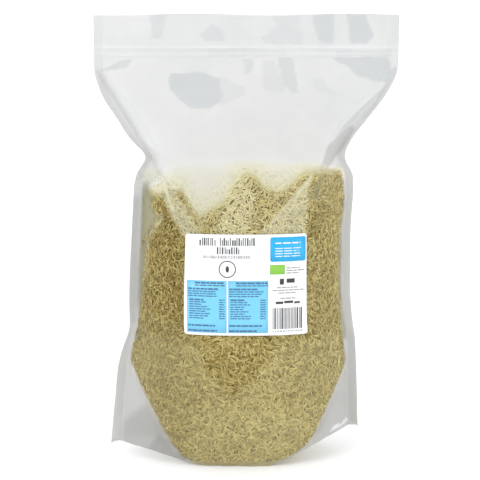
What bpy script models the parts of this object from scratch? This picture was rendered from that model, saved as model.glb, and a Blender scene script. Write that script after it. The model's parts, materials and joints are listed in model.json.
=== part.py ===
"""A filled, closed stand-up pouch of long-grain rice with a paper label on its front.

The lower part of the bag and the rice in it are one solid, which ends in the heap that
the rice forms on top. The upper part of the bag is film around that heap and the empty
space over it.

Metres, +Z up. The front looks along -Y, and the middle of the flat base is the origin.
"""
import math

import bmesh
import bpy
from mathutils import Matrix, Vector

# The outline of the flat film, read from its two sealed sides at these heights:
# height, half width on the left, half width on the right.
SIDES = [
    (0.0000, 0.1370, 0.1140),
    (0.0550, 0.1325, 0.1125),
    (0.0840, 0.1303, 0.1118),
    (0.1030, 0.1268, 0.1107),
    (0.1200, 0.1195, 0.1096),
    (0.1320, 0.1168, 0.1080),
    (0.1550, 0.1174, 0.1054),
    (0.2270, 0.1144, 0.1047),
    (0.2700, 0.1118, 0.1072),
    (0.2840, 0.1095, 0.1062),
    (0.3010, 0.0990, 0.0976),
    (0.3160, 0.1135, 0.1035),
    (0.3400, 0.1288, 0.1210),
    (0.3620, 0.1425, 0.1380),
    (0.3900, 0.1500, 0.1500),
    (0.4410, 0.1500, 0.1500),
]
HEIGHT = SIDES[-1][0]
# Half the depth of the pouch in its middle, at these heights.
DEPTHS = [
    (0.000, 0.0580),
    (0.030, 0.0670),
    (0.080, 0.0725),
    (0.150, 0.0735),
    (0.220, 0.0710),
    (0.262, 0.0655),
    (0.300, 0.0525),
    (0.340, 0.0345),
    (0.375, 0.0155),
    (0.396, 0.0045),
    (0.402, 0.0030),
    (0.426, 0.0024),
    (0.432, 0.0000),
    (0.441, 0.0000),
]
# How much of the width the flat of a section takes, and how sharp its creases are:
# a rounded lens where rice fills it, a folded trapezoid in the empty shoulders.
CREASES = [
    (0.000, 0.42, 3.4),
    (0.060, 0.50, 2.8),
    (0.120, 0.58, 2.6),
    (0.250, 0.60, 2.7),
    (0.282, 0.77, 4.0),
    (0.302, 0.86, 7.0),
    (0.340, 0.85, 9.0),
    (0.364, 0.90, 9.0),
    (0.390, 0.965, 9.0),
    (0.441, 0.97, 9.0),
]
SEALED_FILM = 0.0012        # both films with their seal
SIDE_SEAL = 0.0090          # width of the sealed strip down each side

BASE_CENTRE_X = -0.005      # the flat that stands on the table
BASE_HALF_LENGTH = 0.056
BASE_HALF_DEPTH = 0.048
# The bottom corners hang above the table: distance from the middle where the edge
# starts to rise, length of the rise, and height of the corner.
LEFT_LIFT = (0.048, 0.055, 0.0085)
RIGHT_LIFT = (0.025, 0.095, 0.0260)
LIFT_FADES = 0.110          # height where the lifted corners no longer show
GUSSET_RISE = 0.016         # height of the fold under each bottom corner

ZIP_RIBS = (0.4010, 0.4080)  # heights of the two ribs of the zip
RIB_HALF = 0.0016
RIB_PROUD = 0.0009
FLANGE_HEIGHT = 0.4180       # the upper edge of the zip's tape
TOP_SEAL_HEIGHT = 0.4320
TOP_WAVE = 0.0030            # how far the free top edge waves to and fro
EDGE_WAVE = 0.0010           # how far its edge dips and rises

# Folds that stand proud of the front or sink into it: start and end as (x, height),
# how far they stand proud, and half their width.
FRONT_FOLDS = [
    ((-0.083, 0.292), (-0.070, 0.266), 0.0022, 0.0060),
    ((-0.070, 0.266), (-0.042, 0.242), 0.0022, 0.0055),
    ((0.062, 0.292), (0.036, 0.264), 0.0022, 0.0060),
    ((0.036, 0.264), (0.012, 0.242), 0.0020, 0.0055),
    ((0.064, 0.290), (0.060, 0.245), 0.0020, 0.0050),
    ((-0.145, 0.384), (-0.110, 0.396), -0.0014, 0.0060),
    ((0.086, 0.394), (0.141, 0.375), 0.0016, 0.0060),
    ((-0.122, 0.352), (-0.098, 0.308), -0.0026, 0.0045),
    ((0.096, 0.327), (0.083, 0.303), -0.0026, 0.0045),
    ((0.000, 0.396), (0.012, 0.352), 0.0016, 0.0080),
    ((0.046, 0.396), (0.054, 0.356), 0.0014, 0.0075),
    ((-0.121, 0.118), (-0.096, 0.135), -0.0022, 0.0060),
]
BACK_FOLDS = [
    ((-0.080, 0.296), (-0.050, 0.250), 0.0022, 0.0060),
    ((0.078, 0.298), (0.044, 0.252), 0.0024, 0.0060),
    ((0.010, 0.396), (-0.004, 0.350), 0.0016, 0.0080),
    ((0.112, 0.345), (0.090, 0.306), -0.0024, 0.0045),
    ((-0.112, 0.345), (-0.092, 0.306), -0.0024, 0.0045),
    ((-0.112, 0.112), (-0.088, 0.140), -0.0020, 0.0060),
    ((0.100, 0.108), (0.080, 0.132), -0.0018, 0.0060),
]
# Broad soft hollows in the empty upper film: centre, half width, half height, depth.
FRONT_HOLLOWS = [
    ((-0.072, 0.360), 0.030, 0.020, 0.0034),
    ((0.088, 0.352), 0.026, 0.024, 0.0026),
    ((0.020, 0.322), 0.040, 0.020, 0.0020),
]
BACK_HOLLOWS = [
    ((0.060, 0.356), 0.034, 0.022, 0.0034),
    ((-0.070, 0.340), 0.030, 0.024, 0.0028),
]

# The top of the rice: where it leaves the front film and the back film, and the crest
# between them, as (x, height).
FRONT_FILL = [
    (-0.106, 0.262), (-0.063, 0.272), (-0.045, 0.245), (-0.020, 0.261), (0.001, 0.287),
    (0.015, 0.275), (0.035, 0.270), (0.061, 0.288), (0.098, 0.288),
]
BACK_FILL = [
    (-0.110, 0.262), (-0.060, 0.272), (-0.030, 0.258), (0.010, 0.276), (0.050, 0.262),
    (0.110, 0.278),
]
HEAP_CREST = [(-0.110, 0.272), (-0.085, 0.278), (-0.070, 0.288), (0.000, 0.293), (0.110, 0.290)]
HEAP_SLOPE = 0.74            # rise of the heap for each unit in from the film
HEAP_HALF_SIZE = (0.118, 0.078)  # the block that carries the heap, in x and y
HEAP_GRID = (24, 12)         # squares across it in x and y
FILL_RING = 0.2635           # the solid of rice and the upper film meet at this height
NODE_GAP = 0.0003            # clearance between them
# The empty space lies between these heights, and stays clear of the film and of every
# fold in it. One of its rings is at the neck.
HEADSPACE_HEIGHTS = (0.226, 0.376)
HEADSPACE_RINGS = 11
HEAP_RINGS = 6               # those of them that the heap reaches
HEADSPACE_COLUMNS = 16
HEADSPACE_REACH = 0.87       # share of the width between the side seals
CLEAR_OF_FOLDS = 0.0045      # how far inside the plain film the space ends
THINNEST_SPACE = 0.0008      # half its depth where the films nearly meet
BELOW_HEADSPACE = 0.010      # how much deeper the heap's cutter reaches

PANEL_COLUMNS = 40          # columns of film between the two side seals
SEAL_COLUMNS = 2            # columns across a side seal

LABEL_WIDTH = 0.1205        # along the curve of the pouch
LABEL_HEIGHT = 0.0980
LABEL_CENTRE = (-0.0004, 0.1845)
LABEL_CORNER = 0.0028
LABEL_THICKNESS = 0.0003
LABEL_GAP = 0.0003          # clearance to the film behind it
LABEL_GRID = (24, 8)


def smooth(value):
    """0 below 0, 1 above 1, with an easy curve between."""
    value = min(1.0, max(0.0, value))
    return value * value * (3.0 - 2.0 * value)


def along(table, height, column):
    """Read a column of a table at a height, on a smooth curve without overshoot."""
    rows = [(row[0], row[column]) for row in table]
    if height <= rows[0][0]:
        return rows[0][1]
    if height >= rows[-1][0]:
        return rows[-1][1]
    steps = [(b[1] - a[1]) / (b[0] - a[0]) for a, b in zip(rows, rows[1:])]
    slopes = [steps[0]]
    for before, after in zip(steps, steps[1:]):
        rising_together = before * after > 0.0
        slopes.append(2.0 * before * after / (before + after) if rising_together else 0.0)
    slopes.append(steps[-1])
    index = max(i for i, row in enumerate(rows[:-1]) if height >= row[0])
    (low, value_low), (high, value_high) = rows[index], rows[index + 1]
    span = high - low
    t = (height - low) / span
    return (
        (1 + 2 * t) * (1 - t) ** 2 * value_low
        + t * (1 - t) ** 2 * span * slopes[index]
        + t * t * (3 - 2 * t) * value_high
        - t * t * (1 - t) * span * slopes[index + 1]
    )


def section(across, height):
    """How full the section is, from 1 in the middle to 0 at the side seals."""
    flat = along(CREASES, height, 1)
    sharp = along(CREASES, height, 2)

    def rounded(rise):
        return rise / (1.0 + rise ** sharp) ** (1.0 / sharp)

    to_flat = 1.0 - flat * flat
    return rounded((1.0 - across * across) / to_flat) / rounded(1.0 / to_flat)


def fold_relief(folds, x, height):
    """Height of the folds at a point: a soft ridge or valley along each segment."""
    relief = 0.0
    here = Vector((x, height))
    for start, end, proud, half_width in folds:
        start = Vector(start)
        run = Vector(end) - start
        place = min(1.0, max(0.0, (here - start).dot(run) / run.length_squared))
        distance = (here - start - run * place).length
        fade = math.sin(math.pi * min(0.9, max(0.1, place)))
        relief += proud * fade * math.exp(-((distance / half_width) ** 2))
    return relief


def hollow_relief(hollows, x, height):
    """Depth of the broad hollows at a point, as a negative height."""
    relief = 0.0
    for (centre_x, centre_height), half_width, half_height, depth in hollows:
        reach = ((x - centre_x) / half_width) ** 2 + ((height - centre_height) / half_height) ** 2
        relief -= depth * math.exp(-reach)
    return relief


def rib_relief(height):
    """The two ribs of the zip and the edge of its tape."""
    on_rib = any(abs(height - rib) < 0.75 * RIB_HALF for rib in ZIP_RIBS)
    on_flange = abs(height - FLANGE_HEIGHT) < 0.2 * RIB_HALF
    return RIB_PROUD if on_rib else 0.4 * RIB_PROUD if on_flange else 0.0


def top_wave(x, height):
    """How far the free top of the bag waves out of its plane."""
    return TOP_WAVE * math.sin(34.0 * x + 0.6) * smooth((height - 0.370) / 0.070)


def corner_lift(x, height):
    """How far the bottom edge hangs above the table towards the corners."""
    starts, length, most = LEFT_LIFT if x < 0 else RIGHT_LIFT
    reach = min(1.0, max(0.0, (abs(x) - starts) / length))
    return most * math.sin(0.5 * math.pi * reach) * (1.0 - smooth(height / LIFT_FADES))


def film_point(across, height, front):
    """A point of the outer film. across runs from -1 to 1 between the side seals."""
    left = along(SIDES, height, 1) - SIDE_SEAL
    right = along(SIDES, height, 2) - SIDE_SEAL
    x = across * (left if across < 0 else right)
    fullness = section(across, height)
    folds, hollows = (FRONT_FOLDS, FRONT_HOLLOWS) if front else (BACK_FOLDS, BACK_HOLLOWS)
    relief = fold_relief(folds, x, height) + hollow_relief(hollows, x, height)
    relief *= min(1.0, along(DEPTHS, height, 1) * fullness / 0.010)
    out = 0.5 * SEALED_FILM + along(DEPTHS, height, 1) * fullness + relief
    out += rib_relief(height) * smooth((1.0 - abs(across)) / 0.03)
    edge = EDGE_WAVE * math.cos(40.0 * x + 2.2) * smooth((height - 0.425) / 0.018)
    z = height + corner_lift(x, height) + edge
    return Vector((x, top_wave(x, height) + (-out if front else out), z))


def seal_points(side, height, front):
    """The points across a side seal, from the filled part out to its free edge."""
    column = 1 if side < 0 else 2
    edge = along(SIDES, height, column)
    points = []
    for step in range(1, SEAL_COLUMNS + 1):
        x = side * (edge - SIDE_SEAL + SIDE_SEAL * step / SEAL_COLUMNS)
        y = top_wave(x, height) + (-0.5 if front else 0.5) * SEALED_FILM
        wave = EDGE_WAVE * math.cos(40.0 * x + 2.2) * smooth((height - 0.425) / 0.018)
        points.append(Vector((x, y, height + corner_lift(x, height) + wave)))
    return points


def ring(height):
    """The closed outline of the pouch at one height, from the left edge round the front."""
    spread = [math.sin(0.5 * math.pi * (2.0 * i / PANEL_COLUMNS - 1.0)) for i in range(PANEL_COLUMNS + 1)]
    front = [film_point(across, height, True) for across in spread]
    back = [film_point(across, height, False) for across in reversed(spread)]
    return (
        list(reversed(seal_points(-1, height, True)))
        + front
        + seal_points(1, height, True)
        + list(reversed(seal_points(1, height, False)))
        + back
        + seal_points(-1, height, False)
    )


def ring_heights():
    """Heights of the rings: close ones at the neck and the zip, and one at FILL_RING."""
    heights = [0.0, 0.007, 0.018, 0.032]
    heights += [0.032 + 0.0155 * step for step in range(1, 6)]
    heights += [0.120, 0.131, 0.143, 0.158, 0.175, 0.192, 0.209, 0.226]
    heights += [0.241 + 0.0075 * step for step in range(0, 19)]
    heights += [0.3830, 0.3900, 0.3960]
    for rib in ZIP_RIBS:
        heights += [rib - RIB_HALF, rib - 0.6 * RIB_HALF, rib + 0.6 * RIB_HALF, rib + RIB_HALF]
    heights += [FLANGE_HEIGHT - 0.0012, FLANGE_HEIGHT, FLANGE_HEIGHT + 0.0012]
    heights += [0.4250, TOP_SEAL_HEIGHT, HEIGHT]
    return heights


def underside_rings(rim):
    """Rings from the bottom edge of the film in to the flat that stands on the table."""
    centre = Vector((BASE_CENTRE_X, 0.0, 0.0))
    rings = []
    for inward, rise in ((0.10, 0.55), (0.36, 1.0), (0.68, 0.60), (1.0, 0.0)):
        points = []
        for point in rim:
            angle = math.atan2(point.y / BASE_HALF_DEPTH, (point.x - BASE_CENTRE_X) / BASE_HALF_LENGTH)
            foot = centre + Vector((BASE_HALF_LENGTH * math.cos(angle), BASE_HALF_DEPTH * math.sin(angle), 0.0))
            corner = smooth((abs(point.x - BASE_CENTRE_X) - 0.045) / 0.060)
            place = point.lerp(foot, inward)
            place.z += GUSSET_RISE * rise * corner
            points.append(place)
        rings.append(points)
    return rings


def add_material(obj, name, colour, roughness):
    material = bpy.data.materials.new(name)
    material.use_nodes = True
    shader = material.node_tree.nodes["Principled BSDF"]
    shader.inputs["Base Color"].default_value = (*colour, 1.0)
    shader.inputs["Roughness"].default_value = roughness
    shader.inputs["Metallic"].default_value = 0.0
    obj.data.materials.append(material)


def new_object(name, mesh_builder, collection):
    mesh = bpy.data.meshes.new(name)
    mesh_builder.to_mesh(mesh)
    mesh_builder.free()
    obj = bpy.data.objects.new(name, mesh)
    collection.objects.link(obj)
    return obj


def loft(mesh, rings):
    """Join rings of equally many points with faces, and return their vertices."""
    loops = [[mesh.verts.new(point) for point in points] for points in rings]
    count = len(loops[0])
    for lower, upper in zip(loops, loops[1:]):
        for i in range(count):
            following = (i + 1) % count
            mesh.faces.new((lower[i], lower[following], upper[following], upper[i]))
    return loops


def close_across(mesh, loop, facing_up):
    """Close a flat ring with a strip of faces from its front to its back."""
    count = len(loop)
    for i in range(count // 2 - 1):
        corners = (loop[i], loop[i + 1], loop[count - 2 - i], loop[count - 1 - i])
        mesh.faces.new(corners if facing_up else tuple(reversed(corners)))


def build_rice(collection):
    """The lower part of the bag, full of rice, from the flat it stands on to the ring."""
    rings = [ring(height) for height in ring_heights() if height < FILL_RING + NODE_GAP]
    rings = list(reversed(underside_rings(rings[0]))) + rings
    mesh = bmesh.new()
    loops = loft(mesh, rings)
    mesh.faces.new(list(reversed(loops[0])))
    close_across(mesh, loops[-1], True)
    bmesh.ops.recalc_face_normals(mesh, faces=mesh.faces)
    rice = new_object("rice", mesh, collection)
    add_material(rice, "rice in clear film", (0.42, 0.34, 0.16), 0.45)
    rice.data.shade_smooth()
    return rice


def build_pouch(collection):
    """The upper part of the bag, from the ring to the free top edge."""
    rings = [ring(height) for height in ring_heights() if height > FILL_RING - NODE_GAP]
    for point in rings[0]:
        point.z += NODE_GAP
    mesh = bmesh.new()
    loops = loft(mesh, rings)
    close_across(mesh, loops[0], False)
    close_across(mesh, loops[-1], True)
    bmesh.ops.recalc_face_normals(mesh, faces=mesh.faces)
    pouch = new_object("pouch", mesh, collection)
    add_material(pouch, "milky film", (0.78, 0.79, 0.79), 0.30)
    pouch.data.shade_smooth()
    return pouch


def read_line(line, x):
    """Read a height from a line of (x, height) points, level beyond its ends."""
    if x <= line[0][0]:
        return line[0][1]
    for (before, low), (after, high) in zip(line, line[1:]):
        if x <= after:
            return low + (high - low) * (x - before) / (after - before)
    return line[-1][1]


def half_depth(x, height):
    """Half the depth of the plain bag, without its folds, at a point of the front."""
    reach = along(SIDES, height, 1 if x < 0 else 2) - SIDE_SEAL
    across = min(1.0, abs(x) / reach)
    return along(DEPTHS, height, 1) * section(across, height)


def heap_height(x, y):
    """The top of the rice: it rises from both films towards the crest."""
    fill = read_line(FRONT_FILL if y < 0 else BACK_FILL, x)
    inwards = max(0.0, half_depth(x, fill) - abs(y))
    return min(read_line(HEAP_CREST, x), fill + HEAP_SLOPE * inwards)


def headspace_ring(height, inset):
    """The outline of the empty space at one height, inset by a little more where asked."""
    spread = [2.0 * i / HEADSPACE_COLUMNS - 1.0 for i in range(HEADSPACE_COLUMNS + 1)]
    points = []
    for side, places in ((-1, spread), (1, list(reversed(spread)))):
        for place in places:
            reach = HEADSPACE_REACH * (along(SIDES, height, 1 if place < 0 else 2) - SIDE_SEAL)
            x = place * (reach - inset)
            out = max(half_depth(place * reach, height) - CLEAR_OF_FOLDS, THINNEST_SPACE) - inset
            points.append(Vector((x, side * out, height)))
    return points


def combine(obj, operation, other):
    """Cut another object out of this one, keep what they share, or join them."""
    boolean = obj.modifiers.new(operation.lower() + " " + other.name, "BOOLEAN")
    boolean.operation = operation
    boolean.object = other


def build_heap(cutters):
    """A block whose top is the top of the rice."""
    mesh = bmesh.new()
    bmesh.ops.create_grid(mesh, x_segments=HEAP_GRID[0], y_segments=HEAP_GRID[1], size=1.0)
    bmesh.ops.scale(mesh, vec=(*HEAP_HALF_SIZE, 1.0), verts=mesh.verts)
    for vertex in mesh.verts:
        vertex.co.z = heap_height(vertex.co.x, vertex.co.y)
    foot = bmesh.ops.extrude_face_region(mesh, geom=list(mesh.faces))["geom"]
    for vertex in (item for item in foot if isinstance(item, bmesh.types.BMVert)):
        vertex.co.z = HEADSPACE_HEIGHTS[0] - BELOW_HEADSPACE
    bmesh.ops.recalc_face_normals(mesh, faces=mesh.faces)
    return new_object("heap", mesh, cutters)


def build_headspace(name, rings, inset, cutters):
    """The space inside the upper film, up to one of its rings."""
    low, high = HEADSPACE_HEIGHTS
    step = (high - low) / (HEADSPACE_RINGS - 1)
    mesh = bmesh.new()
    loops = loft(mesh, [headspace_ring(low + step * i, inset) for i in range(rings)])
    mesh.faces.new(list(reversed(loops[0])))
    mesh.faces.new(loops[-1])
    bmesh.ops.recalc_face_normals(mesh, faces=mesh.faces)
    bmesh.ops.triangulate(mesh, faces=mesh.faces, quad_method="FIXED")
    return new_object(name, mesh, cutters)


def build_cutters(cutters):
    """The space over the rice, the space inside the film, and the heap that stands in it."""
    heap = build_heap(cutters)
    inside_film = build_headspace("inside film", HEADSPACE_RINGS, 0.0, cutters)
    over_rice = build_headspace("over rice", HEADSPACE_RINGS, 0.0, cutters)
    combine(over_rice, "DIFFERENCE", heap)
    heap_top = build_headspace("heap top", HEAP_RINGS, NODE_GAP, cutters)
    combine(heap_top, "INTERSECT", heap)
    tools = [heap, inside_film, over_rice, heap_top]
    for cutter in tools:
        cutter.hide_render = True
        cutter.display_type = "WIRE"
    return tools


def columns_by_length(height, direction):
    """How far along the curve of the front each column lies, from the middle to a side."""
    steps = 60
    places = [direction * step / steps for step in range(steps + 1)]
    points = [film_point(across, height, True) for across in places]
    lengths = [0.0]
    for before, here in zip(points, points[1:]):
        lengths.append(lengths[-1] + (here - before).length)
    return lengths, places


def label_point(flat, columns):
    """Where a point of the flat label lies on the front, just clear of the film."""
    height = LABEL_CENTRE[1] + flat.y
    along_curve = LABEL_CENTRE[0] + flat.x
    lengths, places = columns[along_curve > 0.0]
    index = max(i for i, length in enumerate(lengths[:-1]) if length <= abs(along_curve))
    t = (abs(along_curve) - lengths[index]) / (lengths[index + 1] - lengths[index])
    across = places[index] + t * (places[index + 1] - places[index])
    beside = film_point(across + 0.004, height, True) - film_point(across - 0.004, height, True)
    above = film_point(across, height + 0.002, True) - film_point(across, height - 0.002, True)
    return film_point(across, height, True) + beside.cross(above).normalized() * LABEL_GAP


def build_label(collection):
    """A rounded rectangle of paper, bent to the curve of the pouch, with its thickness."""
    mesh = bmesh.new()
    bmesh.ops.create_grid(mesh, x_segments=LABEL_GRID[0], y_segments=LABEL_GRID[1], size=0.5)
    bmesh.ops.scale(mesh, vec=(LABEL_WIDTH, LABEL_HEIGHT, 1.0), verts=mesh.verts)
    corners = [v for v in mesh.verts if len(v.link_edges) == 2]
    bmesh.ops.bevel(
        mesh, geom=corners, offset=LABEL_CORNER, offset_type="OFFSET",
        segments=4, profile=0.5, affect="VERTICES",
    )
    columns = [columns_by_length(LABEL_CENTRE[1], direction) for direction in (-1, 1)]
    for vertex in mesh.verts:
        vertex.co = label_point(vertex.co, columns)
    bmesh.ops.recalc_face_normals(mesh, faces=mesh.faces)
    outward = sum((face.normal for face in mesh.faces), Vector())
    if outward.y > 0:
        bmesh.ops.reverse_faces(mesh, faces=mesh.faces)
    label = new_object("label", mesh, collection)
    thickness = label.modifiers.new("paper", "SOLIDIFY")
    thickness.thickness = LABEL_THICKNESS
    thickness.offset = 1.0
    add_material(label, "white label paper", (0.93, 0.93, 0.93), 0.35)
    return label


def centre_on_base(objects, cutters):
    """Move the model so that its box is centred on the origin and stands on z = 0."""
    view_layer = bpy.context.view_layer
    view_layer.update()
    graph = bpy.context.evaluated_depsgraph_get()
    corners = [v.co for obj in objects for v in obj.evaluated_get(graph).data.vertices]
    low = [min(corner[axis] for corner in corners) for axis in range(3)]
    high = [max(corner[axis] for corner in corners) for axis in range(3)]
    shift = Vector((-0.5 * (low[0] + high[0]), -0.5 * (low[1] + high[1]), -low[2]))
    for obj in objects + cutters:
        obj.data.transform(Matrix.Translation(shift))


def main():
    for obj in list(bpy.data.objects):
        bpy.data.objects.remove(obj, do_unlink=True)
    collection = bpy.data.collections.new("rice pouch")
    bpy.context.scene.collection.children.link(collection)
    cutters = bpy.data.collections.new("cutters")
    bpy.context.scene.collection.children.link(cutters)
    tools = build_cutters(cutters)
    heap, inside_film, over_rice, heap_top = tools
    rice = build_rice(collection)
    combine(rice, "DIFFERENCE", over_rice)
    combine(rice, "UNION", heap_top)
    pouch = build_pouch(collection)
    combine(pouch, "DIFFERENCE", inside_film)
    label = build_label(collection)
    centre_on_base([rice, pouch, label], tools)


main()
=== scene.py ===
# %% [markdown]
# # A stand-up pouch of rice
# The object is a closed pouch of thin, slightly milky film, full of long-grain rice, with
# a paper label on its front. Its fixed frame is a solid of the rice in the lower bag, a
# thick shell of film above it, and a sheet for the label. This lesson dresses that frame:
# the two solids become thin film, a zip and thousands of grains, and the label gets its
# paper and its printed fields.

# %% Load the fixed frame
import json
import math

import bmesh
import bpy
import numpy as np
from mathutils import Matrix, Vector, noise
from mathutils.bvhtree import BVHTree

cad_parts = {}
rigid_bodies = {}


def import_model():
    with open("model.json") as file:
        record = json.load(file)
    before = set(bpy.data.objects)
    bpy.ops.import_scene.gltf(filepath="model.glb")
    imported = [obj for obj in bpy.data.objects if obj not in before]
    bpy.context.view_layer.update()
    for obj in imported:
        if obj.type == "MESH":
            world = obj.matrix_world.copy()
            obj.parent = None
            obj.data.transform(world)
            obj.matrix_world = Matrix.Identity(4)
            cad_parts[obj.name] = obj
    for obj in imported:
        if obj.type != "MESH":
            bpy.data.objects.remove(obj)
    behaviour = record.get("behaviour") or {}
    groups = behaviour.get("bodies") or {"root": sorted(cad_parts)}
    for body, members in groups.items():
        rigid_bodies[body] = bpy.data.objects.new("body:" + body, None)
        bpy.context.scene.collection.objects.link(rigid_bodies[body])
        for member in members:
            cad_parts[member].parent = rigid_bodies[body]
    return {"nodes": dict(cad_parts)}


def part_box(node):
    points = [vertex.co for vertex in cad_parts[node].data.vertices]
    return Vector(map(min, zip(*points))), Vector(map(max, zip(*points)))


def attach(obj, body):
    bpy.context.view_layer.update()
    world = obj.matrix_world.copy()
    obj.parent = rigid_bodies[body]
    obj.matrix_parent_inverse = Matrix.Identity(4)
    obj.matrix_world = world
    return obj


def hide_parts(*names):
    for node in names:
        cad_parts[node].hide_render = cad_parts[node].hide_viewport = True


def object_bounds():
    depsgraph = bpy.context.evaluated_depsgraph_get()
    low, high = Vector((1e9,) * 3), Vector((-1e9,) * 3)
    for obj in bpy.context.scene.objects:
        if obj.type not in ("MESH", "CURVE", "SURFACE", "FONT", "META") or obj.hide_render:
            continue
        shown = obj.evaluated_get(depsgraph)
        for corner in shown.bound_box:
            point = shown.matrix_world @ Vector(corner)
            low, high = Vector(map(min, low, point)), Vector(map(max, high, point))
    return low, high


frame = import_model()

cad_low, cad_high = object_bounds()
MM = 0.001
print("frame box in mm:", [round(1000 * side) for side in cad_high - cad_low])

# %% [markdown]
# ## The camera
# The photograph was taken with a long lens from a little above the middle of the pouch.
# A long lens is chosen here too, because a short one would make the top look too wide.
# The lens follows from the width that the picture covers at the pouch.

# %% Camera
CAMERA_ELEVATION = math.radians(9.0)
CAMERA_DISTANCE = 1.80
VIEW_WIDTH = 0.4792
AIM = Vector((-0.0060, 0.0, 0.2172))

camera_data = bpy.data.cameras.new("camera")
camera_data.sensor_width = 36.0
camera_data.lens = camera_data.sensor_width * CAMERA_DISTANCE / VIEW_WIDTH
camera = bpy.data.objects.new("camera", camera_data)
bpy.context.collection.objects.link(camera)
backwards = Vector((0.0, -math.cos(CAMERA_ELEVATION), math.sin(CAMERA_ELEVATION)))
camera.location = AIM + backwards * CAMERA_DISTANCE
camera.rotation_euler = backwards.to_track_quat("Z", "Y").to_euler()
bpy.context.scene.camera = camera
print("lens:", round(camera_data.lens), "mm")

# %% [markdown]
# ## Node helpers
# Every finish below is a small node tree. These helpers add a node, set its plain values
# and join sockets, so that each material reads as a short list of what it does.

# %% Node helpers


def add_node(tree, kind, **settings):
    node = tree.nodes.new(kind)
    for name, value in settings.items():
        setattr(node, name, value)
    return node


def feed(tree, value, socket):
    """Join another node's output to a socket, or set the socket's own value."""
    if isinstance(value, bpy.types.NodeSocket):
        tree.links.new(value, socket)
    else:
        socket.default_value = value


def maths(tree, operation, first, second=0.0, clamp=False):
    node = add_node(tree, "ShaderNodeMath", operation=operation, use_clamp=clamp)
    feed(tree, first, node.inputs[0])
    feed(tree, second, node.inputs[1])
    return node.outputs[0]


def mix_colour(tree, factor, first, second):
    node = add_node(tree, "ShaderNodeMix", data_type="RGBA")
    feed(tree, factor, node.inputs["Factor"])
    feed(tree, first, node.inputs["A"])
    feed(tree, second, node.inputs["B"])
    return node.outputs["Result"]


def stretch(tree, value, low, high, to_low=0.0, to_high=1.0):
    node = add_node(tree, "ShaderNodeMapRange", clamp=True)
    feed(tree, value, node.inputs["Value"])
    for name, amount in (("From Min", low), ("From Max", high), ("To Min", to_low), ("To Max", to_high)):
        node.inputs[name].default_value = amount
    return node.outputs["Result"]


def attribute(tree, name):
    return add_node(tree, "ShaderNodeAttribute", attribute_name=name).outputs["Fac"]


def object_position(tree):
    return add_node(tree, "ShaderNodeTexCoord").outputs["Object"]


def fine_noise(tree, position, scale, detail=3.0, roughness=0.5):
    node = add_node(tree, "ShaderNodeTexNoise")
    feed(tree, position, node.inputs["Vector"])
    node.inputs["Scale"].default_value = scale
    node.inputs["Detail"].default_value = detail
    node.inputs["Roughness"].default_value = roughness
    return node.outputs["Fac"]


def bump(tree, height, strength, distance):
    node = add_node(tree, "ShaderNodeBump")
    feed(tree, height, node.inputs["Height"])
    node.inputs["Strength"].default_value = strength
    node.inputs["Distance"].default_value = distance
    return node.outputs["Normal"]


def new_material(name, roughness, ior=1.5):
    """A material with its Principled shader, and the tree to hang a finish on."""
    material = bpy.data.materials.new(name)
    material.use_nodes = True
    shader = material.node_tree.nodes["Principled BSDF"]
    shader.inputs["Roughness"].default_value = roughness
    shader.inputs["IOR"].default_value = ior
    return material, material.node_tree, shader


# %% [markdown]
# ## Floor and light
# The pouch stands on a seamless white sweep in a light tent. The world is the tent: even
# white light from all sides, with a dark opening in front, where a tent is open for the
# camera. Without that opening the film would mirror white and veil the rice. One large
# soft lamp on the upper left models the film, and a weaker one fills the right.

# %% Floor
FLOOR_HALF_SIZE = 20.0
FLOOR_GLOW = 0.16            # a lit sweep, so that the shadow stays close to the pouch

floor_mesh = bmesh.new()
bmesh.ops.create_grid(floor_mesh, x_segments=8, y_segments=8, size=FLOOR_HALF_SIZE)
floor_data = bpy.data.meshes.new("floor")
floor_mesh.to_mesh(floor_data)
floor_mesh.free()
floor = bpy.data.objects.new("floor", floor_data)
bpy.context.collection.objects.link(floor)

floor_material, tree, shader = new_material("white sweep", 0.75)
grain_of_paper = fine_noise(tree, object_position(tree), 40.0)
feed(tree, mix_colour(tree, grain_of_paper, (0.875, 0.895, 0.925, 1), (0.90, 0.92, 0.95, 1)), shader.inputs["Base Color"])
shader.inputs["Emission Color"].default_value = (1.0, 1.0, 1.0, 1.0)
shader.inputs["Emission Strength"].default_value = FLOOR_GLOW
floor_data.materials.append(floor_material)

# %% Lights
WORLD_STRENGTH = 1.12
TENT_OPENING = (0.72, 0.93)   # cosines from the middle of the opening to its soft rim
LAMPS = {
    "key": ((-1.1, -1.5, 1.7), 1.3, 17.0),
    "fill": ((1.5, -1.3, 0.9), 1.1, 6.0),
}

world = bpy.data.worlds.new("light tent")
bpy.context.scene.world = world
world.use_nodes = True
tent = world.node_tree
direction = add_node(tent, "ShaderNodeTexCoord").outputs["Generated"]
towards_camera = add_node(tent, "ShaderNodeVectorMath", operation="DOT_PRODUCT")
feed(tent, direction, towards_camera.inputs[0])
towards_camera.inputs[1].default_value = (0.0, -0.98, 0.20)
opening = stretch(tent, towards_camera.outputs["Value"], *TENT_OPENING)
tent_light = mix_colour(tent, opening, (1.0, 1.0, 1.0, 1.0), (0.08, 0.08, 0.08, 1.0))
feed(tent, tent_light, tent.nodes["Background"].inputs["Color"])
tent.nodes["Background"].inputs["Strength"].default_value = WORLD_STRENGTH

for name, (place, size, power) in LAMPS.items():
    lamp_data = bpy.data.lights.new(name, "AREA")
    lamp_data.shape = "DISK"
    lamp_data.size = size
    lamp_data.energy = power
    lamp = bpy.data.objects.new(name, lamp_data)
    lamp.location = place
    lamp.rotation_euler = (Vector(place) - Vector((0.0, 0.0, 0.2))).to_track_quat("Z", "Y").to_euler()
    bpy.context.collection.objects.link(lamp)
bpy.context.scene.view_settings.view_transform = "Standard"
print("lamps:", ", ".join(LAMPS))

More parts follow.
